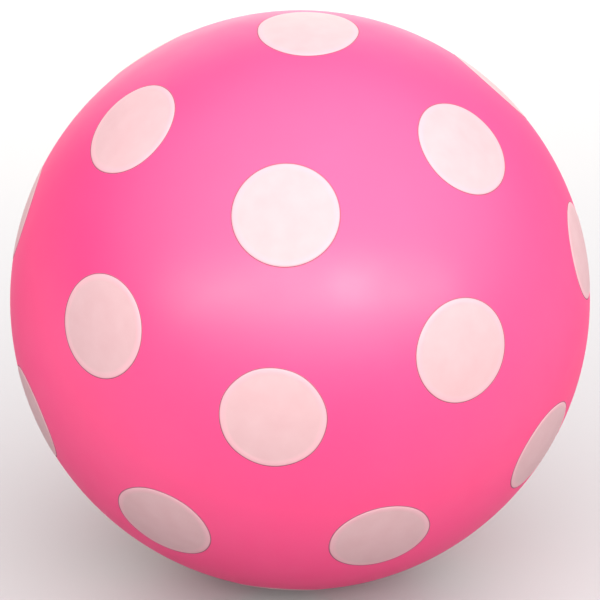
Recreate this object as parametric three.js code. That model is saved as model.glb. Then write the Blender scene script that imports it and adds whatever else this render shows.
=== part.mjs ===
// Seamless vinyl play ball with printed polka dots and a push-in valve plug.
// Units are millimetres and +Z is up. The origin is the ball's centre. The valve faces +Y at the
// back, and the middle dot of the print faces -Y at the front.
import * as THREE from "three";

// Ball skin, one moulded shell
const BALL_DIAMETER = 230;
const SKIN_WALL = 0.7;

// Printed dots: one at the front, then rings of dots, each ring turned half a step from the last
const DOT_DIAMETER = 38.8;
const INK_THICKNESS = 0.2;
const INK_GAP = 0.1;
const RING_ANGLES = [36.9, 64.6, 83.2, 104, 119.5, 144]; // degrees round from the front dot
const DOTS_PER_RING = 5;
const PRINT_TURN = 2.2; // degrees about the valve axis
// Where the stamp missed or smeared a dot: mm outwards from the front dot, mm on round its ring, and
// mm by which the dot came out longer outwards than across
const STAMP_MISSES = {
  dot_ring1_3: [0.5, 1, 2],
  dot_ring1_4: [3, 0, 4.5],
  dot_ring2_1: [0.5, 0, 2],
  dot_ring2_2: [1.5, 2.5, 0],
  dot_ring2_3: [3.5, 0, 0],
  dot_ring2_4: [4.5, -4, 0],
  dot_ring2_5: [1, -1, 4],
  dot_ring3_1: [4.5, -0.5, 11],
  dot_ring3_2: [2, 2, 0],
  dot_ring3_5: [3.5, -1.5, 0],
  dot_ring4_1: [-3, 6, 0],
};

// Valve insert, fused into the skin from inside
const WELD_GAP = 0.3;
const BORE_DIAMETER = 6.4;
const BORE_LENGTH = 13;
const BORE_TAPER = 2.5; // degrees a side, narrowing inwards
const CUP_WALL = 1.2;
const TUBE_WALL = 2.6;
const FACE_RING_WIDTH = 4;
const FLANGE_WIDTH = 5;
const FLANGE_THICKNESS = 1.2;

// Valve plug, pushed into the insert
const SHANK_LENGTH = 11;
const HEAD_LIP = 2.4;
const HEAD_THICKNESS = 1.6;
const HEAD_ROUND = 0.4;
const HEAD_SINK = 0.4; // below the insert's outer face
const TIP_ROUND = 1;
const PLUG_CLEARANCE = 0.3;
const RIB_COUNT = 3;
const RIB_WIDTH = 1.4;
const RIB_CLEARANCE = 0.1;

// Facets
const SKIN_SEGMENTS = 48;
const SKIN_RINGS = 23;
const DOT_SEGMENTS = 18;
const DOT_RINGS = 2;
const VALVE_SEGMENTS = 24;
const FLANGE_RINGS = 2;

const ballRadius = BALL_DIAMETER / 2;
const innerRadius = ballRadius - SKIN_WALL;
const ringStep = 360 / DOTS_PER_RING;

// Radii of the valve, each built outwards from the bore
const boreRadius = BORE_DIAMETER / 2;
const headRadius = boreRadius - PLUG_CLEARANCE + HEAD_LIP;
const cupRadius = headRadius + PLUG_CLEARANCE;
const faceRadius = cupRadius + FACE_RING_WIDTH;
const flangeRadius = faceRadius + FLANGE_WIDTH;
const holeRadius = faceRadius + WELD_GAP;

// Levels along the valve axis, from the face inwards
const faceLevel = Math.sqrt(ballRadius ** 2 - faceRadius ** 2);
const headTopLevel = faceLevel - HEAD_SINK;
const headUnderLevel = headTopLevel - HEAD_THICKNESS;
const seatLevel = headUnderLevel - PLUG_CLEARANCE;
const boreEndLevel = seatLevel - BORE_LENGTH;
const tipLevel = headUnderLevel - SHANK_LENGTH;

const taperSlope = Math.tan(THREE.MathUtils.degToRad(BORE_TAPER));
const boreRadiusAt = (level) => boreRadius - (seatLevel - level) * taperSlope;

// A point on a meridian, at an angle round the ball from the front pole.
function meridianPoint(radius, angle) {
  return new THREE.Vector2(radius * Math.sin(angle), -radius * Math.cos(angle));
}

// Points of a meridian, from one angle to another.
function meridian(radius, from, to, steps) {
  const points = [];
  for (let i = 0; i <= steps; i += 1) {
    points.push(meridianPoint(radius, from + ((to - from) * i) / steps));
  }
  return points;
}

// The angle round from the front pole at which a meridian comes back to a distance from the valve axis.
const angleNearValve = (radius, distance) => Math.PI - Math.asin(distance / radius);

function vinyl(color) {
  return new THREE.MeshStandardMaterial({ color, roughness: 0.35, metalness: 0 });
}

function named(name, geometry, material) {
  const mesh = new THREE.Mesh(geometry, material);
  mesh.name = name;
  return mesh;
}

// The shell: up the outer meridian from the front pole, through the wall at the valve hole, and back
// down the inner one. Both have a ring of points at the flange's rim, so the flange lies flat on a facet band.
function ballSkin() {
  const surface = (radius) => [
    ...meridian(radius, 0, angleNearValve(radius, flangeRadius + WELD_GAP), SKIN_RINGS),
    meridianPoint(radius, angleNearValve(radius, holeRadius)),
  ];
  const profile = [...surface(ballRadius), ...surface(innerRadius).reverse()];
  return named("ball_skin", new THREE.LatheGeometry(profile, SKIN_SEGMENTS), vinyl(0xf4569b));
}

// The bush: flat ring flush with the ball at its rim, flange under the skin, cup for the plug's head
// and a tube round the tapered bore.
function valveInsert() {
  const seatRadius = innerRadius - WELD_GAP;
  const flangeTop = meridian(
    seatRadius,
    angleNearValve(seatRadius, flangeRadius),
    angleNearValve(seatRadius, faceRadius),
    FLANGE_RINGS,
  );
  const flangeUnderLevel = flangeTop[0].y - FLANGE_THICKNESS;
  const cupUnderLevel = Math.min(flangeUnderLevel, seatLevel) - CUP_WALL;
  const boreEndRadius = boreRadiusAt(boreEndLevel);
  const profile = [
    new THREE.Vector2(boreEndRadius, boreEndLevel),
    new THREE.Vector2(boreEndRadius + TUBE_WALL, boreEndLevel),
    new THREE.Vector2(boreRadiusAt(cupUnderLevel) + TUBE_WALL, cupUnderLevel),
    new THREE.Vector2(cupRadius + CUP_WALL, cupUnderLevel),
    new THREE.Vector2(cupRadius + CUP_WALL, flangeUnderLevel),
    new THREE.Vector2(flangeRadius, flangeUnderLevel),
    ...flangeTop,
    new THREE.Vector2(faceRadius, faceLevel),
    new THREE.Vector2(cupRadius, faceLevel),
    new THREE.Vector2(cupRadius, seatLevel),
    new THREE.Vector2(boreRadius, seatLevel),
    new THREE.Vector2(boreEndRadius, boreEndLevel),
  ];
  return named("valve_insert", new THREE.LatheGeometry(profile, VALVE_SEGMENTS), vinyl(0xf4569b));
}

// The plug: rounded tip, tapered shank with sealing ribs, and a flat head with a rounded edge.
function valvePlug() {
  const shankRadiusAt = (level) => boreRadiusAt(level) - PLUG_CLEARANCE;
  const profile = [
    new THREE.Vector2(0, tipLevel),
    new THREE.Vector2(shankRadiusAt(tipLevel) / 2, tipLevel),
    new THREE.Vector2(shankRadiusAt(tipLevel + TIP_ROUND), tipLevel + TIP_ROUND),
  ];
  const ribSpacing = (SHANK_LENGTH - TIP_ROUND) / (RIB_COUNT + 1);
  for (let i = 1; i <= RIB_COUNT; i += 1) {
    const level = tipLevel + TIP_ROUND + i * ribSpacing;
    const low = level - RIB_WIDTH / 2;
    const high = level + RIB_WIDTH / 2;
    profile.push(new THREE.Vector2(shankRadiusAt(low), low));
    profile.push(new THREE.Vector2(boreRadiusAt(level) - RIB_CLEARANCE, level));
    profile.push(new THREE.Vector2(shankRadiusAt(high), high));
  }
  profile.push(
    new THREE.Vector2(shankRadiusAt(headUnderLevel), headUnderLevel),
    new THREE.Vector2(headRadius, headUnderLevel),
    new THREE.Vector2(headRadius, headTopLevel - HEAD_ROUND),
    new THREE.Vector2(headRadius - HEAD_ROUND, headTopLevel),
    new THREE.Vector2(0, headTopLevel),
  );
  return named("valve_plug", new THREE.LatheGeometry(profile, VALVE_SEGMENTS), vinyl(0xf2eeea));
}

// One film of ink at the front pole, drawn out along Z where it is longer than wide. Its underside is
// raised so that its flat facets, as well as its points, stay INK_GAP clear of the skin.
function dotGeometry(longer) {
  const rimAngle = Math.asin(DOT_DIAMETER / BALL_DIAMETER);
  const stretch = 1 + longer / DOT_DIAMETER;
  const facetRise = 1 / Math.cos((stretch * rimAngle) / DOT_RINGS / 2);
  const under = (ballRadius + INK_GAP) * facetRise;
  const profile = [
    ...meridian(under + INK_THICKNESS, 0, rimAngle, DOT_RINGS),
    ...meridian(under, 0, rimAngle, DOT_RINGS).reverse(),
  ];
  return drawnOut(new THREE.LatheGeometry(profile, DOT_SEGMENTS), stretch);
}

// Moves each point away from the XY plane, but keeps its distance from the ball's centre.
function drawnOut(geometry, stretch) {
  const places = geometry.attributes.position;
  const place = new THREE.Vector3();
  for (let i = 0; i < places.count; i += 1) {
    place.fromBufferAttribute(places, i);
    const fromCentre = place.length();
    place.z *= stretch;
    places.setXYZ(i, ...place.setLength(fromCentre));
  }
  return geometry;
}

function printedDots() {
  const ink = () => new THREE.MeshStandardMaterial({ color: 0xf6e9e8, roughness: 0.4, metalness: 0 });
  const print = new THREE.Group();
  print.rotation.y = THREE.MathUtils.degToRad(PRINT_TURN);
  print.add(named("dot_front", dotGeometry(0), ink()));
  RING_ANGLES.map(THREE.MathUtils.degToRad).forEach((ringAngle, ring) => {
    const halfStep = ring % 2 ? ringStep / 2 : 0;
    const ringRadius = ballRadius * Math.sin(ringAngle);
    for (let i = 0; i < DOTS_PER_RING; i += 1) {
      const name = `dot_ring${ring + 1}_${i + 1}`;
      const [outwards, round, longer] = STAMP_MISSES[name] ?? [0, 0, 0];
      const turned = new THREE.Group();
      const dot = named(name, dotGeometry(longer), ink());
      turned.rotation.y = THREE.MathUtils.degToRad(i * ringStep + halfStep) + round / ringRadius;
      dot.rotation.x = -(ringAngle + outwards / ballRadius);
      turned.add(dot);
      print.add(turned);
    }
  });
  return print;
}

const ball = new THREE.Group();
ball.add(ballSkin(), valveInsert(), valvePlug(), printedDots());

export default ball;
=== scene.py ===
# %% [markdown]
# # A dotted vinyl play ball
# The real ball is a hollow skin of soft pink vinyl, with round dots of pale ink printed on it and a small
# valve at the back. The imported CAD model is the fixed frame: it says where each piece is and how the plug
# moves. This lesson puts a finer surface over each CAD piece, gives it its real finish, and then sets up
# the floor, the light and the camera.

import bmesh
import bpy
import numpy as np
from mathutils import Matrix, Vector


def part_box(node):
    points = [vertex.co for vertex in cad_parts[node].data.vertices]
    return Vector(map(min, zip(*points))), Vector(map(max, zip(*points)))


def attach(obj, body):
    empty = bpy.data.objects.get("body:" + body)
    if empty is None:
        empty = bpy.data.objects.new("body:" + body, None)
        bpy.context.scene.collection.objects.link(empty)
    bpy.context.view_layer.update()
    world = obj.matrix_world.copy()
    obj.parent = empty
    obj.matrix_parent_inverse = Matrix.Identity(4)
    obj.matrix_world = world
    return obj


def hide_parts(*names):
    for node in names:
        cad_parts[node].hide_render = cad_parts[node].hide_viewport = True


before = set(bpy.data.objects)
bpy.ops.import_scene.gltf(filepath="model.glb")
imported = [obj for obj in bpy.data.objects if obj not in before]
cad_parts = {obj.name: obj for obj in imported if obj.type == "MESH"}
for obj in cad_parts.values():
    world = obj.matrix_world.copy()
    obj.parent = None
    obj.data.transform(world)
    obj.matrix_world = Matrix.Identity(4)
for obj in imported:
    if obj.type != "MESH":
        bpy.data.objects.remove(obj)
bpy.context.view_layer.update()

# %% [markdown]
# ## Measures
# The main sizes come from the CAD pieces, so that nothing has to be fitted afterwards. The skin's points
# all lie on two spheres, the outer and the inner face of the wall, and its points nearest the valve axis
# give the valve hole.

# %% Measure the skin
MM = 0.001


def cad_points(node):
    """The corners of a CAD node, one row of x, y and z in metres for each."""
    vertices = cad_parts[node].data.vertices
    points = np.empty(len(vertices) * 3)
    vertices.foreach_get("co", points)
    return points.reshape(-1, 3)


skin_points = cad_points("ball_skin")
from_centre = np.linalg.norm(skin_points, axis=1)
from_axis = np.hypot(skin_points[:, 0], skin_points[:, 2])
BALL_RADIUS = from_centre.max()
SKIN_WALL = BALL_RADIUS - from_centre.min()
HOLE_RADIUS = from_axis[skin_points[:, 1] > 0].min()
INNER_RADIUS = BALL_RADIUS - SKIN_WALL
print("ball radius, wall, hole, mm:", np.round(np.array([BALL_RADIUS, SKIN_WALL, HOLE_RADIUS]) / MM, 2))

# %% [markdown]
# ## From a grid of points to a piece
# Every piece here is round about some axis, so each is a grid: rows run along a profile and columns go
# round the axis. Blender's Spin or Screw could turn a profile too, but a grid worked out with numpy keeps
# each point's place in plain sight, and lets a row or a column be bent afterwards.

# %% Profile helpers
def meridian(radius, start, end, count):
    """Points of a circle about the ball's centre: (r sin a, -r cos a), with the angle a from the front."""
    angle = np.linspace(start, end, count)
    return np.stack([radius * np.sin(angle), -radius * np.cos(angle)], axis=1)


def turned(profile, steps):
    """A profile carried round the Y axis.

    A profile row holds the distance d from the axis and the place y along it. At a turn t the point is
    (d sin t, y, d cos t). A profile whose outer side runs towards +Y gives faces that point outwards.
    """
    turn = np.linspace(0, 2 * np.pi, steps, endpoint=False)
    distance, along = profile[:, :1], profile[:, 1:]
    return np.stack([distance * np.sin(turn), along + 0 * turn, distance * np.cos(turn)], axis=-1)


print("profile helpers:", meridian.__name__, turned.__name__)

# %% Mesh helpers
WELD_DISTANCE = 1e-7


def grid_piece(name, points, ring=False, marks=None):
    """A piece with one face for each cell of a grid of points.

    The columns close on themselves, and with ring the rows do too. A row that has shrunk to a point is
    welded. marks gives each row a number, under a name, that a finish can read at every point of that row.
    """
    rows, columns = points.shape[:2]
    index = np.arange(rows * columns).reshape(rows, columns)
    index = np.concatenate([index, index[:, :1]], axis=1)
    if ring:
        index = np.concatenate([index, index[:1]], axis=0)
    cells = np.stack([index[:-1, :-1], index[:-1, 1:], index[1:, 1:], index[1:, :-1]], axis=-1)
    mesh = bpy.data.meshes.new(name)
    mesh.from_pydata(points.reshape(-1, 3).tolist(), [], cells.reshape(-1, 4).tolist())
    for mark, values in dict(marks or {}).items():
        layer = mesh.attributes.new(mark, "FLOAT", "POINT")
        layer.data.foreach_set("value", np.repeat(values, columns))
    weld(mesh)
    mesh.shade_smooth()
    piece = bpy.data.objects.new(name, mesh)
    bpy.context.scene.collection.objects.link(piece)
    return piece


def weld(mesh):
    """Merges the points that lie on each other, such as a pole's."""
    surface = bmesh.new()
    surface.from_mesh(mesh)
    bmesh.ops.remove_doubles(surface, verts=surface.verts, dist=WELD_DISTANCE)
    surface.to_mesh(mesh)
    surface.free()


print("points closer than this are welded, mm:", round(WELD_DISTANCE / MM, 6))

# %% [markdown]
# ## The skin
# The skin is rotationally moulded: liquid vinyl coats the inside of a turning hot mould, so it comes out as
# one seamless shell. A plain sphere with Solidify would come close, but the hole for the valve needs a
# soft, rounded lip. So the profile runs up the outer face, round the lip in a half circle, and back down
# the inner face.

# %% The skin's surface
SKIN_STEPS = 224
OUTER_ROWS = 150
INNER_ROWS = 60
LIP_ROWS = 9


def skin_profile():
    """Outer meridian, lip and inner meridian.

    The lip is a half circle as wide as the wall, about a point c in the middle of the wall. It is
    c + h (n cos p + t sin p) with p from 0 to pi, where h is half the wall, n points away from the ball's
    centre and t along the skin towards the valve axis.
    """
    half_wall = SKIN_WALL / 2
    middle = BALL_RADIUS - half_wall
    lip_angle = np.pi - np.arcsin((HOLE_RADIUS + half_wall) / middle)
    outwards = np.array([np.sin(lip_angle), -np.cos(lip_angle)])
    along = np.array([np.cos(lip_angle), np.sin(lip_angle)])
    bend = np.linspace(0, np.pi, LIP_ROWS)[1:-1, None]
    lip = middle * outwards + half_wall * (outwards * np.cos(bend) + along * np.sin(bend))
    outer = meridian(BALL_RADIUS, 0, lip_angle, OUTER_ROWS)
    inner = meridian(INNER_RADIUS, lip_angle, 0, INNER_ROWS)
    return np.concatenate([outer, lip, inner])


skin = grid_piece("vinyl_skin", turned(skin_profile(), SKIN_STEPS))
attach(skin, "ball")
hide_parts("ball_skin")
print("skin faces:", len(skin.data.polygons))

# %% [markdown]
# ## The printed dots
# Each dot is a film of ink, stamped on the skin after moulding. It could be painted into the skin's
# material, but then it would have no edge of its own. As a thin shell it stands a little proud of the skin,
# its edge rounds down to the vinyl, and the ink that gathers along the edge as it dries makes a low bead.
# Outside the edge, a fringe of very thin ink has crept out over the skin. The stamp smeared some dots, so
# that they are longer outwards than across, and each film takes that from its CAD dot. No printed edge is
# quite smooth, so each outline wavers by up to about a tenth of a millimetre.

# %% Measure the dots
dot_names = sorted(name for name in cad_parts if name.startswith("dot_"))
NUDGE_UP = np.array([0, 0, 1e-4])


def unit(vector):
    """The vector with its length made 1."""
    return vector / np.linalg.norm(vector)


def dot_directions(node):
    """The directions of a CAD dot's corners from the ball's centre, and the direction of its middle."""
    points = cad_points(node)
    directions = points / np.linalg.norm(points, axis=1, keepdims=True)
    return directions, unit(directions.mean(axis=0))


front_directions, FRONT = dot_directions("dot_front")
RIM_ANGLE = np.arccos((front_directions @ FRONT).min())
DOT_REACH = BALL_RADIUS * RIM_ANGLE


def dot_measures(node):
    """Where a CAD dot faces, the way along the skin away from the front dot, and its length over its width.

    That way is the part of -F, with F towards the front dot, that is square to the way the dot faces. A
    small nudge upwards settles it for the front dot itself.
    """
    directions, facing = dot_directions(node)
    away = NUDGE_UP - FRONT
    away = unit(away - (away @ facing) * facing)
    return facing, away, np.arcsin((directions @ away).max()) / RIM_ANGLE


measured_dots = {node: dot_measures(node) for node in dot_names}
longest = max(stretch for facing, away, stretch in measured_dots.values())
print("dots:", len(dot_names), "rim angle, degrees:", np.round(np.degrees(RIM_ANGLE), 2))
print("the most smeared dot's length over its width:", np.round(longest, 3))

# %% The films' profile
INK_THICKNESS = 0.13 * MM
INK_LIFT = 0.02 * MM
INK_EDGE = 0.5 * MM
BEAD_HEIGHT = 0.05 * MM
BEAD_WIDTH = 0.7 * MM
BEAD_FROM_RIM = 1.3 * MM
FRINGE_WIDTH = 0.5 * MM
FRINGE_THICKNESS = 0.02 * MM
PRINTED_REACH = DOT_REACH - FRINGE_WIDTH
RIM_ZONE = 3 * MM
FLAT_ROWS = 16
RIM_ROWS = 22
FRINGE_ROWS = 4
UNDER_ROWS = 8


def film_height(to_rim):
    """Height of the ink's face above its underside, by the distance inwards from the printed edge.

    The edge is a quarter of an ellipse, thickness times sqrt(1 - (1 - u)^2) with u from 0 to 1 over the
    edge's width, and the bead is a bell curve on top of it. The fringe outside the edge thins out at a
    steady slope.
    """
    u = np.clip(to_rim / INK_EDGE, 0, 1)
    bead = BEAD_HEIGHT * np.exp(-(((to_rim - BEAD_FROM_RIM) / BEAD_WIDTH) ** 2))
    fringe = FRINGE_THICKNESS * np.clip((to_rim + FRINGE_WIDTH) / FRINGE_WIDTH, 0, 1)
    return np.maximum((INK_THICKNESS + bead) * np.sqrt(1 - (1 - u) ** 2), fringe)


def film_rows():
    """Distance from the dot's middle and height above the skin, out along the ink's face and back under it.

    Over the zone near the rim the rows crowd towards the edge: their distances to it are the squares of
    even steps.
    """
    flat = np.linspace(0, PRINTED_REACH - RIM_ZONE, FLAT_ROWS, endpoint=False)
    rim = PRINTED_REACH - RIM_ZONE * np.linspace(1, 0, RIM_ROWS) ** 2
    fringe = np.linspace(PRINTED_REACH, DOT_REACH, FRINGE_ROWS)[1:]
    face = np.concatenate([flat, rim, fringe])
    under = np.linspace(DOT_REACH, 0, UNDER_ROWS)[1:]
    height = np.concatenate([film_height(PRINTED_REACH - face), 0 * under]) + INK_LIFT
    return np.concatenate([face, under]), height


print("rows of a film:", len(film_rows()[0]), "printed edge at, mm:", np.round(PRINTED_REACH / MM, 2))

# %% The films' surface
EDGE_WAVER = 0.06 * MM
WAVES = np.array([2, 3, 5, 7])
DOT_STEPS = 96
DOT_SEED = 11


def film_points(facing, away, stretch, draw):
    """A film round its own axis, then turned to face its place on the ball.

    A point at distance s and turn t from the middle lies at the angle s / R, with R the ball's radius. The
    angle is multiplied by the waver of the edge, a sum of a few sine waves round the turn with drawn heights
    and phases, and by the smear, which draws the circle out to an ellipse:
    1 / sqrt(sin^2 t + (cos t / stretch)^2).
    """
    distance, height = film_rows()
    turn = np.linspace(0, 2 * np.pi, DOT_STEPS, endpoint=False)
    size = draw.uniform(-1, 1, len(WAVES))
    phase = draw.uniform(0, 2 * np.pi, len(WAVES))
    waver = EDGE_WAVER * (size * np.sin(turn[:, None] * WAVES + phase)).sum(axis=1)
    smear = 1 / np.hypot(np.sin(turn), np.cos(turn) / stretch)
    angle = (distance / BALL_RADIUS)[:, None] * (1 + waver / DOT_REACH) * smear
    radius = (BALL_RADIUS + height)[:, None]
    sideways = radius * np.sin(angle)
    local = np.stack([sideways * np.sin(turn), -radius * np.cos(angle), sideways * np.cos(turn)], axis=-1)
    return local @ np.stack([np.cross(-facing, away), -facing, away])


draw = np.random.default_rng(DOT_SEED)
to_rim_mm = (PRINTED_REACH - film_rows()[0]) / MM
dots = []
for node in dot_names:
    points = film_points(*measured_dots[node], draw)
    dot = grid_piece("ink_" + node, points, marks={"to_rim_mm": to_rim_mm})
    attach(dot, "ball")
    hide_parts(node)
    dots.append(dot)
print("ink films:", len(dots), "faces each:", len(dots[0].data.polygons))

# %% [markdown]
# ## The valve
# The valve is a soft vinyl bush, fused into the hole from inside, and a stopper that is pushed into its
# bore. Cylinders and cones could be joined for them, but both are turned shapes, so a short list of corners
# is enough for each. Moulded edges are never sharp: every corner is replaced by a small curve, which
# catches the light as the real edge does.

# %% Valve measures
PLUG_CLEARANCE = 0.3 * MM
HEAD_LIP = 2.4 * MM
HEAD_THICKNESS = 1.6 * MM
BORE_TAPER = 2.5  # degrees a side, narrowing inwards
BORE_SLOPE = np.tan(np.radians(BORE_TAPER))
bush_low, bush_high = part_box("valve_insert")
plug_low, plug_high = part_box("valve_plug")
HEAD_RADIUS = plug_high.x
CUP_RADIUS = HEAD_RADIUS + PLUG_CLEARANCE
BORE_RADIUS = HEAD_RADIUS - HEAD_LIP + PLUG_CLEARANCE
HEAD_UNDER = plug_high.y - HEAD_THICKNESS
SEAT_LEVEL = HEAD_UNDER - PLUG_CLEARANCE
print("bore and head, mm across:", round(2 * BORE_RADIUS / MM, 2), round(2 * HEAD_RADIUS / MM, 2))

# %% Valve helpers
VALVE_STEPS = 96
CURVE_ROWS = 5


def bore_radius_at(level):
    """The bore narrows inwards from its seat at a steady slope."""
    return BORE_RADIUS - (SEAT_LEVEL - level) * BORE_SLOPE


def softened(corners, closed):
    """A profile with each corner p replaced by a curve from one side to the other.

    A corner is given as its distance from the axis, its place along it and the reach of its curve. The
    curve is (1 - t)^2 a + 2 t (1 - t) p + t^2 b, where a and b lie on the two sides, at that reach from p.
    A corner whose reach is 0 stays sharp, as the two ends of an open profile do on the axis.
    """
    corners = np.array(corners, float)
    places, reach = corners[:, :2], corners[:, 2:]
    back = np.roll(places, 1, axis=0) - places
    ahead = np.roll(places, -1, axis=0) - places
    start = places + reach * back / np.linalg.norm(back, axis=1, keepdims=True)
    end = places + reach * ahead / np.linalg.norm(ahead, axis=1, keepdims=True)
    t = np.linspace(0, 1, CURVE_ROWS)[None, :, None]
    curves = (1 - t) ** 2 * start[:, None] + 2 * t * (1 - t) * places[:, None] + t**2 * end[:, None]
    rows = curves.reshape(-1, 2)
    return rows if closed else rows[CURVE_ROWS - 1 : 1 - CURVE_ROWS]


print("bore at its end, mm across:", round(2 * bore_radius_at(bush_low.y) / MM, 2))

# %% The bush
EDGE_ROUND = 0.35 * MM
FINE_ROUND = 0.2 * MM
WELD_GAP = 0.3 * MM
FACE_RING_WIDTH = 4 * MM
FLANGE_THICKNESS = 1.2 * MM
CUP_WALL = 1.2 * MM
TUBE_WALL = 2.6 * MM
FACE_RADIUS = CUP_RADIUS + FACE_RING_WIDTH
FLANGE_RADIUS = bush_high.x
seat_sphere = INNER_RADIUS - WELD_GAP


def flange_level(distance):
    """The flange lies along the skin's inside: y = sqrt(r^2 - d^2) on a sphere one weld gap below it."""
    return np.sqrt(seat_sphere**2 - distance**2)


flange_under = flange_level(FLANGE_RADIUS) - FLANGE_THICKNESS
cup_under = min(flange_under, SEAT_LEVEL) - CUP_WALL
bore_end = bore_radius_at(bush_low.y)
bush_corners = [
    (bore_end, bush_low.y, EDGE_ROUND),
    (bore_end + TUBE_WALL, bush_low.y, EDGE_ROUND),
    (bore_radius_at(cup_under) + TUBE_WALL, cup_under, FINE_ROUND),
    (CUP_RADIUS + CUP_WALL, cup_under, EDGE_ROUND),
    (CUP_RADIUS + CUP_WALL, flange_under, FINE_ROUND),
    (FLANGE_RADIUS, flange_under, EDGE_ROUND),
    (FLANGE_RADIUS, flange_level(FLANGE_RADIUS), EDGE_ROUND),
    (FACE_RADIUS, flange_level(FACE_RADIUS), FINE_ROUND),
    (FACE_RADIUS, bush_high.y, EDGE_ROUND),
    (CUP_RADIUS, bush_high.y, EDGE_ROUND),
    (CUP_RADIUS, SEAT_LEVEL, FINE_ROUND),
    (BORE_RADIUS, SEAT_LEVEL, FINE_ROUND),
]
bush_profile = softened(bush_corners, closed=True)
bush = grid_piece("valve_bush", turned(bush_profile, VALVE_STEPS), ring=True)
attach(bush, "ball")
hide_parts("valve_insert")
print("bush faces:", len(bush.data.polygons))

# %% The stopper
RIB_COUNT = 3
RIB_WIDTH = 1.4 * MM
RIB_CLEARANCE = 0.1 * MM
TIP_ROUND = 1 * MM
GATE_RADIUS = 0.9 * MM
GATE_DEPTH = 0.15 * MM
GATE_ROUND = 0.1 * MM
shank_bottom = plug_low.y + TIP_ROUND
rib_spacing = (HEAD_UNDER - shank_bottom) / (RIB_COUNT + 1)


def shank_radius_at(level):
    """The shank follows the bore's taper, one clearance inside it."""
    return bore_radius_at(level) - PLUG_CLEARANCE


plug_corners = [
    (0, plug_low.y, 0),
    (shank_radius_at(plug_low.y), plug_low.y, TIP_ROUND),
]
for rib in range(1, RIB_COUNT + 1):
    level = shank_bottom + rib * rib_spacing
    low = level - RIB_WIDTH / 2
    high = level + RIB_WIDTH / 2
    plug_corners.append((shank_radius_at(low), low, FINE_ROUND))
    plug_corners.append((bore_radius_at(level) - RIB_CLEARANCE, level, FINE_ROUND))
    plug_corners.append((shank_radius_at(high), high, FINE_ROUND))
plug_corners += [
    (shank_radius_at(HEAD_UNDER), HEAD_UNDER, FINE_ROUND),
    (HEAD_RADIUS, HEAD_UNDER, EDGE_ROUND),
    (HEAD_RADIUS, plug_high.y, EDGE_ROUND),
    (GATE_RADIUS, plug_high.y, FINE_ROUND),
    (GATE_RADIUS - FINE_ROUND, plug_high.y - GATE_DEPTH, GATE_ROUND),
    (0, plug_high.y - GATE_DEPTH, 0),
]
plug_profile = softened(plug_corners, closed=False)
stopper = grid_piece("valve_stopper", turned(plug_profile, VALVE_STEPS))
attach(stopper, "plug")
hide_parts("valve_plug")
print("stopper faces:", len(stopper.data.polygons))

# %% [markdown]
# ## Finishes
# A finish is a small network of nodes round one Principled shader. Colours are written as sRGB hex values,
# as a paint chart gives them, and turned to the linear values that the shader works with. A picture could
# carry the patterns, but noise in the object's own metres has a real size, and no seam.

# %% Finish helpers
# A Mix node has sockets for every kind of value. These are the ones that it uses for colours.
MIX_SHARE = 0
MIX_FIRST = 6
MIX_SECOND = 7
MIX_RESULT = 2


def linear(hex_colour):
    """An sRGB hex colour as linear values, with a full alpha.

    A channel c becomes c / 12.92 where it is dark, and ((c + 0.055) / 1.055)^2.4 elsewhere.
    """
    channels = np.array([int(hex_colour[i : i + 2], 16) for i in (1, 3, 5)]) / 255
    bright = ((channels + 0.055) / 1.055) ** 2.4
    return (*np.where(channels <= 0.04045, channels / 12.92, bright).tolist(), 1.0)


def add_node(tree, kind, settings=(), links=()):
    """Adds a node. settings gives its fields and its inputs' values, and links what goes into an input."""
    node = tree.nodes.new(kind)
    for key, value in dict(settings).items():
        if isinstance(key, int) or key in node.inputs:
            node.inputs[key].default_value = value
        else:
            setattr(node, key, value)
    for key, output in dict(links).items():
        tree.links.new(output, node.inputs[key])
    return node


def per_metre(size_mm):
    """The scale of a noise whose patches are about this many millimetres across."""
    return 1 / (size_mm * MM)


def start_finish(name):
    """A material with only a shader in it, and what is needed to add to it."""
    material = bpy.data.materials.new(name)
    material.use_nodes = True
    tree = material.node_tree
    tree.nodes.clear()
    shader = add_node(tree, "ShaderNodeBsdfPrincipled")
    add_node(tree, "ShaderNodeOutputMaterial", links={"Surface": shader.outputs["BSDF"]})
    return material, tree, shader


print("a noise of 10 mm patches has the scale", per_metre(10))

# %% [markdown]
# ### Rotationally moulded PVC
# The skin is plasticised PVC, which is pink right through and takes the polish of its mould. That gives the
# eye a deep, even colour under a soft gloss. One flat colour would look like paint. So the colour clouds
# faintly where the skin came out thicker, the gloss varies a little, and the surface has the low waves of a
# moulding that has shrunk.

# %% The satin of soft PVC
GRAZING = (0.2, 0.8)  # 0 is seen face-on and 1 edge-on
GRAZING_ROUGHNESS = 0.36


def satin_at_rim(tree, roughness):
    """Roughness that grows where the surface is seen edge-on, by a smooth step over the range GRAZING.

    The fine peel of soft PVC scatters the light that grazes it, so its rim doesn't gleam as polished
    plastic does.
    """
    edge_on = add_node(tree, "ShaderNodeLayerWeight").outputs["Facing"]
    grazing = add_node(
        tree,
        "ShaderNodeMapRange",
        {
            "interpolation_type": "SMOOTHSTEP",
            "From Min": GRAZING[0],
            "From Max": GRAZING[1],
            "To Min": 0.0,
            "To Max": GRAZING_ROUGHNESS,
        },
        {"Value": edge_on},
    )
    total = add_node(
        tree, "ShaderNodeMath", {"operation": "ADD"}, {0: roughness, 1: grazing.outputs["Result"]}
    )
    return total.outputs[0]


print("roughness added at the rim:", GRAZING_ROUGHNESS)

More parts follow.
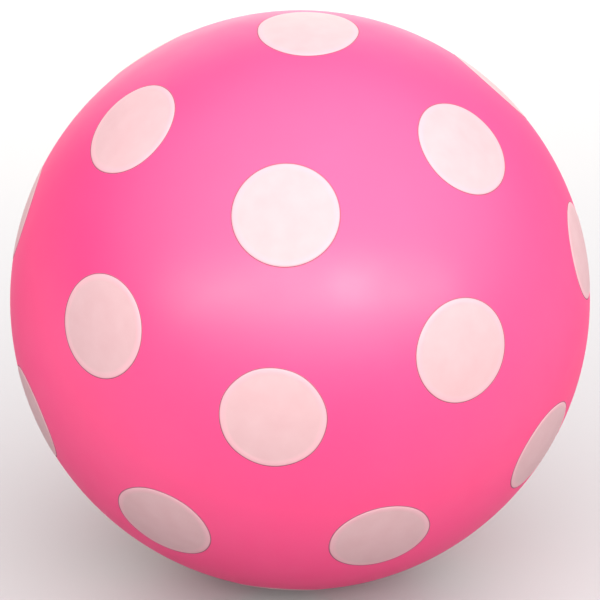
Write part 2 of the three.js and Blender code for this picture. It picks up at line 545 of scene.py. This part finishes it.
# %% The skin's finish
PINK_DEEP = "#FD3780"
PINK_CLEAR = "#FF3F89"
BUSH_DEEP = "#F04089"
BUSH_CLEAR = "#F84E95"
CLOUD_MM = 38
CLOUD_DETAIL = 3
GLOSS_MM = 14
GLOSS_DETAIL = 2
VINYL_ROUGHNESS = (0.26, 0.38)
WAVE_MM = 16
WAVE_DETAIL = 1
WAVE_HEIGHT = 0.03 * MM
VINYL_IOR = 1.53
VINYL_SPECULAR = 1.0  # twice the reflection that the IOR alone gives, matched to the ball's strong sheen


def rotomoulded_pvc(name, deep, clear):
    """Clouded colour, varied gloss and low waves, each from its own noise."""
    material, tree, shader = start_finish(name)
    place = add_node(tree, "ShaderNodeTexCoord").outputs["Object"]
    clouds = add_node(
        tree, "ShaderNodeTexNoise", {"Scale": per_metre(CLOUD_MM), "Detail": CLOUD_DETAIL}, {"Vector": place}
    )
    colour = add_node(
        tree,
        "ShaderNodeMix",
        {"data_type": "RGBA", MIX_FIRST: linear(deep), MIX_SECOND: linear(clear)},
        {MIX_SHARE: clouds.outputs["Fac"]},
    )
    patches = add_node(
        tree, "ShaderNodeTexNoise", {"Scale": per_metre(GLOSS_MM), "Detail": GLOSS_DETAIL}, {"Vector": place}
    )
    gloss = add_node(
        tree,
        "ShaderNodeMapRange",
        {"To Min": VINYL_ROUGHNESS[0], "To Max": VINYL_ROUGHNESS[1]},
        {"Value": patches.outputs["Fac"]},
    )
    waves = add_node(
        tree, "ShaderNodeTexNoise", {"Scale": per_metre(WAVE_MM), "Detail": WAVE_DETAIL}, {"Vector": place}
    )
    bump = add_node(tree, "ShaderNodeBump", {"Distance": WAVE_HEIGHT}, {"Height": waves.outputs["Fac"]})
    shader.inputs["IOR"].default_value = VINYL_IOR
    shader.inputs["Specular IOR Level"].default_value = VINYL_SPECULAR
    tree.links.new(colour.outputs[MIX_RESULT], shader.inputs["Base Color"])
    tree.links.new(satin_at_rim(tree, gloss.outputs["Result"]), shader.inputs["Roughness"])
    tree.links.new(bump.outputs["Normal"], shader.inputs["Normal"])
    return material


skin.data.materials.append(rotomoulded_pvc("rotomoulded_pvc_pink", PINK_DEEP, PINK_CLEAR))
bush.data.materials.append(rotomoulded_pvc("moulded_pvc_bush", BUSH_DEEP, BUSH_CLEAR))
print("vinyl finishes:", skin.data.materials[0].name, bush.data.materials[0].name)

# %% [markdown]
# ### Printed ink
# The dots are white vinyl ink in one thin coat, so the pink shows through and tints it. The ink lies
# thicker in some places than in others, which mottles the tint, and thinner towards the edge, which gives
# each dot a faint pink rim. A thin, dull, darker line is painted on the fringe outside the edge. It is
# painted shade, where the step of the ink meets the skin. A picture of a dot could show all this, but it
# wouldn't follow the waver of each outline.
# The films' points hold their distance to the printed edge, and rim and line are painted by that.

# %% The ink's tint
INK_THIN = "#D9ADB3"
INK_THICK = "#E1BCC1"
INK_RIM = "#FDB8C9"
COVER_MM = 7
COVER_DETAIL = 4
RIM_MM = (2.6, 0.8)
RIM_SHARE = 0.4


def ink_tint(tree, place, to_rim):
    """A tint mottled by a noise, with the rim's pink mixed in as the edge comes nearer over RIM_MM."""
    cover = add_node(
        tree, "ShaderNodeTexNoise", {"Scale": per_metre(COVER_MM), "Detail": COVER_DETAIL}, {"Vector": place}
    )
    mottled = add_node(
        tree,
        "ShaderNodeMix",
        {"data_type": "RGBA", MIX_FIRST: linear(INK_THIN), MIX_SECOND: linear(INK_THICK)},
        {MIX_SHARE: cover.outputs["Fac"]},
    )
    thinning = add_node(
        tree,
        "ShaderNodeMapRange",
        {"From Min": RIM_MM[0], "From Max": RIM_MM[1], "To Min": 0.0, "To Max": RIM_SHARE},
        {"Value": to_rim},
    )
    tint = add_node(
        tree,
        "ShaderNodeMix",
        {"data_type": "RGBA", MIX_SECOND: linear(INK_RIM)},
        {MIX_SHARE: thinning.outputs["Result"], MIX_FIRST: mottled.outputs[MIX_RESULT]},
    )
    return tint.outputs[MIX_RESULT]


print("the ink thins, mm from its edge:", RIM_MM)

# %% The painted shade at the edge
# The line round each dot is painted shade: a darker, duller colour where the ink's step meets the skin.
PAINTED_SHADE_LINE = "#9A3F66"
PAINTED_SHADE_MM = (0.05, -0.25)
PAINTED_SHADE_SHARE = 0.85
INK_ROUGHNESS = 0.36
PAINTED_SHADE_ROUGHNESS = 0.75


def with_painted_shade(tree, tint, to_rim):
    """The tint with a line of painted shade on the fringe, and a roughness that grows along that line."""
    painted_shade = add_node(
        tree,
        "ShaderNodeMapRange",
        {"From Min": PAINTED_SHADE_MM[0], "From Max": PAINTED_SHADE_MM[1], "To Min": 0.0, "To Max": PAINTED_SHADE_SHARE},
        {"Value": to_rim},
    )
    # Mixes the painted shade line into the ink's tint.
    colour = add_node(
        tree,
        "ShaderNodeMix",
        {"data_type": "RGBA", MIX_SECOND: linear(PAINTED_SHADE_LINE)},
        {MIX_SHARE: painted_shade.outputs["Result"], MIX_FIRST: tint},
    )
    gloss = add_node(
        tree,
        "ShaderNodeMapRange",
        {"To Min": INK_ROUGHNESS, "To Max": PAINTED_SHADE_ROUGHNESS},
        {"Value": painted_shade.outputs["Result"]},
    )
    return colour.outputs[MIX_RESULT], gloss.outputs["Result"]


print("the dust thickens, mm from the edge:", PAINTED_SHADE_MM)

# %% The ink's finish
# The stamp's real grain is too fine to show here, so it is drawn coarser.
INK_GRAIN_MM = 1.2
INK_GRAIN_DETAIL = 2
INK_GRAIN_HEIGHT = 0.006 * MM


def printed_pvc_ink():
    """The tint, the painted shade line at its edge, and the grain that the stamp leaves in the ink."""
    material, tree, shader = start_finish("printed_pvc_ink")
    place = add_node(tree, "ShaderNodeTexCoord").outputs["Object"]
    to_rim = add_node(tree, "ShaderNodeAttribute", {"attribute_name": "to_rim_mm"}).outputs["Fac"]
    colour, roughness = with_painted_shade(tree, ink_tint(tree, place, to_rim), to_rim)
    grain = add_node(
        tree,
        "ShaderNodeTexNoise",
        {"Scale": per_metre(INK_GRAIN_MM), "Detail": INK_GRAIN_DETAIL},
        {"Vector": place},
    )
    bump = add_node(tree, "ShaderNodeBump", {"Distance": INK_GRAIN_HEIGHT}, {"Height": grain.outputs["Fac"]})
    shader.inputs["IOR"].default_value = VINYL_IOR
    tree.links.new(colour, shader.inputs["Base Color"])
    tree.links.new(satin_at_rim(tree, roughness), shader.inputs["Roughness"])
    tree.links.new(bump.outputs["Normal"], shader.inputs["Normal"])
    return material


ink = printed_pvc_ink()
for dot in dots:
    dot.data.materials.append(ink)
print("ink finish on", len(dots), "films")

# %% [markdown]
# ### Moulded polyethylene
# The stopper is polyethylene, a harder and milky plastic, moulded in a plain tool. That gives the eye a
# matt off-white. It could stay one flat colour at this size, but the stopper stands out when it is pulled,
# so a grain breaks up its colour and its surface.

# %% The stopper's finish
MILKY_DEEP = "#E9E4DE"
MILKY_CLEAR = "#F3EFEA"
POLYETHYLENE_ROUGHNESS = 0.45
# The tool's real grain is too fine to show here, so it is drawn coarser.
TOOL_GRAIN_MM = 1.5
TOOL_GRAIN_DETAIL = 3
TOOL_GRAIN_HEIGHT = 0.01 * MM


def moulded_polyethylene():
    """A milky white whose tone and height follow one grain."""
    material, tree, shader = start_finish("moulded_polyethylene")
    place = add_node(tree, "ShaderNodeTexCoord").outputs["Object"]
    grain = add_node(
        tree,
        "ShaderNodeTexNoise",
        {"Scale": per_metre(TOOL_GRAIN_MM), "Detail": TOOL_GRAIN_DETAIL},
        {"Vector": place},
    )
    colour = add_node(
        tree,
        "ShaderNodeMix",
        {"data_type": "RGBA", MIX_FIRST: linear(MILKY_DEEP), MIX_SECOND: linear(MILKY_CLEAR)},
        {MIX_SHARE: grain.outputs["Fac"]},
    )
    bump = add_node(tree, "ShaderNodeBump", {"Distance": TOOL_GRAIN_HEIGHT}, {"Height": grain.outputs["Fac"]})
    shader.inputs["Roughness"].default_value = POLYETHYLENE_ROUGHNESS
    tree.links.new(colour.outputs[MIX_RESULT], shader.inputs["Base Color"])
    tree.links.new(bump.outputs["Normal"], shader.inputs["Normal"])
    return material


stopper.data.materials.append(moulded_polyethylene())
print("stopper finish:", stopper.data.materials[0].name)

# %% [markdown]
# ## The floor
# The ball stands on pale paper. A floor as pale as this would throw much light up under the ball, and a
# darker one would look dull round it. So the paper tells the rays apart with Light Path: the camera,
# reflections and clear materials see the pale tone, and the light that the paper passes on to the ball
# comes from a darker one. Both tones are a little cool, because the lamps are a little warm. The ball's
# shadow stays.

# %% The floor
FLOOR_HALF = 4.0
PAPER_BOUNCE = "#747477"
PAPER_SEEN = "#C2C3C7"
PAPER_ROUGHNESS = 0.9


def matt_paper():
    """The pale tone for rays that show the paper, and the darker tone for all others."""
    material, tree, shader = start_finish("matt_white_paper")
    rays = add_node(tree, "ShaderNodeLightPath").outputs
    seen = add_node(
        tree,
        "ShaderNodeMath",
        {"operation": "MAXIMUM"},
        {0: rays["Is Camera Ray"], 1: rays["Is Glossy Ray"]},
    )
    shown = add_node(
        tree,
        "ShaderNodeMath",
        {"operation": "MAXIMUM"},
        {0: seen.outputs[0], 1: rays["Is Transmission Ray"]},
    )
    tone = add_node(
        tree,
        "ShaderNodeMix",
        {"data_type": "RGBA", MIX_FIRST: linear(PAPER_BOUNCE), MIX_SECOND: linear(PAPER_SEEN)},
        {MIX_SHARE: shown.outputs[0]},
    )
    tree.links.new(tone.outputs[MIX_RESULT], shader.inputs["Base Color"])
    shader.inputs["Roughness"].default_value = PAPER_ROUGHNESS
    return material


floor_mesh = bpy.data.meshes.new("floor")
floor_corners = np.array([(-1, -1, 0), (1, -1, 0), (1, 1, 0), (-1, 1, 0)]) * FLOOR_HALF
floor_corners[:, 2] = -BALL_RADIUS
floor_mesh.from_pydata(floor_corners.tolist(), [], [(0, 1, 2, 3)])
floor_mesh.materials.append(matt_paper())
floor = bpy.data.objects.new("floor", floor_mesh)
bpy.context.scene.collection.objects.link(floor)
print("floor at, mm:", round(-BALL_RADIUS / MM, 1))

# %% [markdown]
# ## The light
# The light is that of a white studio: a soft sky, brightest above the front right, and three softboxes. The
# wide one, just above the camera, draws the pale band across the middle of the ball. The small one draws
# the bright spot in that band, and the low one behind the ball lights its upper rim. One lamp would light
# the ball too, but then its gloss would show a single spot and its rim would go dark.

# %% The sky
SKY_WHITE = "#FFFFFF"
SKY_DIM = 0.2
SKY_BRIGHT = 1.92
GLOW_AZIMUTH = 25
GLOW_ELEVATION = 47
GLOW_COSINES = (-0.2, 0.85)  # of the angle to the glow, where the sky is dimmest and where brightest


def direction(azimuth, elevation):
    """The unit vector towards a place round the ball: azimuth 0 is in front, at -Y, and grows towards +X."""
    turn, rise = np.radians([azimuth, elevation])
    return Vector((np.sin(turn) * np.cos(rise), -np.cos(turn) * np.cos(rise), np.sin(rise)))


world = bpy.data.worlds.new("studio")
bpy.context.scene.world = world
world.use_nodes = True
sky = world.node_tree
sky.nodes.clear()
towards = add_node(sky, "ShaderNodeTexCoord").outputs["Generated"]
to_glow = add_node(
    sky,
    "ShaderNodeVectorMath",
    {"operation": "DOT_PRODUCT", 1: direction(GLOW_AZIMUTH, GLOW_ELEVATION)},
    {0: towards},
)
glow = add_node(
    sky,
    "ShaderNodeMapRange",
    {"From Min": GLOW_COSINES[0], "From Max": GLOW_COSINES[1], "To Min": SKY_DIM, "To Max": SKY_BRIGHT},
    {"Value": to_glow.outputs["Value"]},
)
backdrop = add_node(
    sky, "ShaderNodeBackground", {"Color": linear(SKY_WHITE)}, {"Strength": glow.outputs["Result"]}
)
add_node(sky, "ShaderNodeOutputWorld", links={"Surface": backdrop.outputs["Background"]})
print("sky from", SKY_DIM, "to", SKY_BRIGHT)

# %% The softboxes
LAMP_WHITE = "#FFF3E0"


def softbox(name, azimuth, elevation, distance, width, height, watts):
    """An area lamp that faces the ball's centre. Its distance and its sides are in metres."""
    lamp = bpy.data.lights.new(name, "AREA")
    lamp.shape = "RECTANGLE"
    lamp.size = width
    lamp.size_y = height
    lamp.energy = watts
    lamp.color = linear(LAMP_WHITE)[:3]
    holder = bpy.data.objects.new(name, lamp)
    back = direction(azimuth, elevation)
    holder.location = back * distance
    holder.rotation_euler = back.to_track_quat("Z", "Y").to_euler()
    holder.visible_camera = False
    bpy.context.scene.collection.objects.link(holder)


softbox("softbox_band", azimuth=9, elevation=26, distance=1.4, width=3.9, height=0.42, watts=11.5)
softbox("softbox_small", azimuth=26, elevation=26.5, distance=1.3, width=0.34, height=0.28, watts=0.58)
softbox("softbox_back", azimuth=189, elevation=11, distance=2.0, width=1.6, height=0.85, watts=32)

# %% [markdown]
# ## The camera
# The camera stands four ball diameters away, a little above the ball and to its right, and looks at its
# centre. It could stand nearer with a wider lens, but the nearer a camera is, the less of a ball it sees,
# and the dots at the rim would slip out of sight.

# %% The camera
VIEW_AZIMUTH = 4.84
VIEW_ELEVATION = 21.58
VIEW_DIAMETERS = 4
SENSOR_MM = 36
LENS_MM = 138.1
camera_data = bpy.data.cameras.new("camera")
camera_data.sensor_width = SENSOR_MM
camera_data.lens = LENS_MM
camera = bpy.data.objects.new("camera", camera_data)
towards_camera = direction(VIEW_AZIMUTH, VIEW_ELEVATION)
camera.location = towards_camera * (VIEW_DIAMETERS * 2 * BALL_RADIUS)
camera.rotation_euler = towards_camera.to_track_quat("Z", "Y").to_euler()
bpy.context.scene.collection.objects.link(camera)
bpy.context.scene.camera = camera
bpy.context.scene.view_settings.view_transform = "Standard"
print("camera at, m:", [round(value, 3) for value in camera.location])

# %% [markdown]
# ## Sizes
# The finer surfaces have to stay inside the CAD model's box.

# %% The end
print("the pieces are built")
